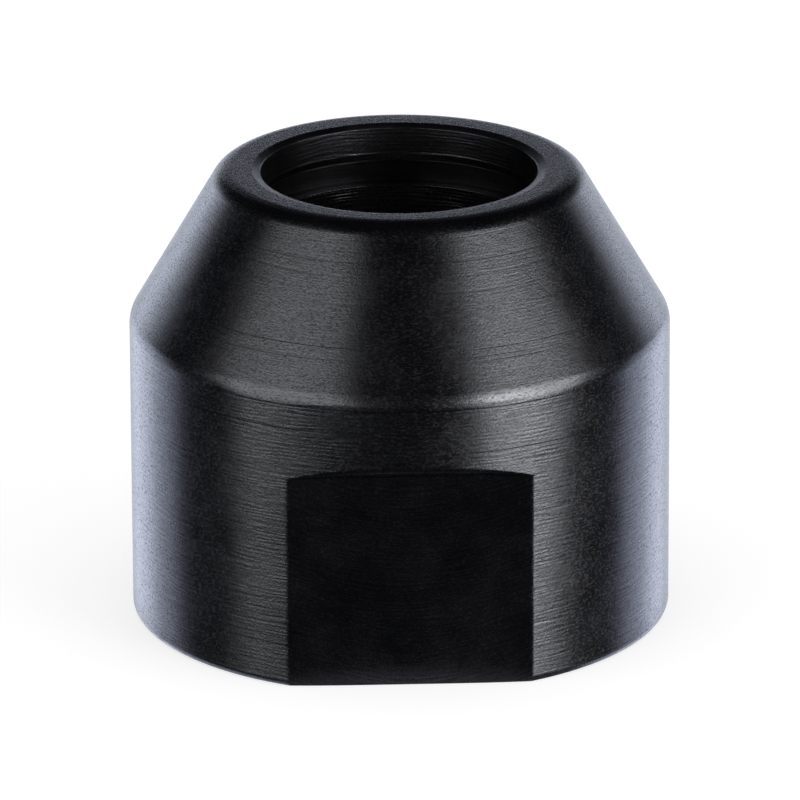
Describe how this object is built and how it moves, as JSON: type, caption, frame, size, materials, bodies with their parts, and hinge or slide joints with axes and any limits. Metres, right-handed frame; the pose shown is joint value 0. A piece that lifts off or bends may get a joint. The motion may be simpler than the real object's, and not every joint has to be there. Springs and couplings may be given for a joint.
{
  "type": "collet nut",
  "caption": "Round collet nut with a conical nose and two wrench flats; it draws a collet into a tool spindle's taper.",
  "frame": {"origin": "centre of the threaded end's face, which the nut stands on", "axes": "+Z along the turning axis, from the threaded end to the conical nose; the wrench flats face -Y and +Y"},
  "size_m": [0.019, 0.019, 0.0161],
  "materials": {
    "black_oxide_steel": "black oxide on turned steel, lightly oiled"
  },
  "bodies": {
    "root": {"collet_nut": "black_oxide_steel"}
  },
  "joints": []
}
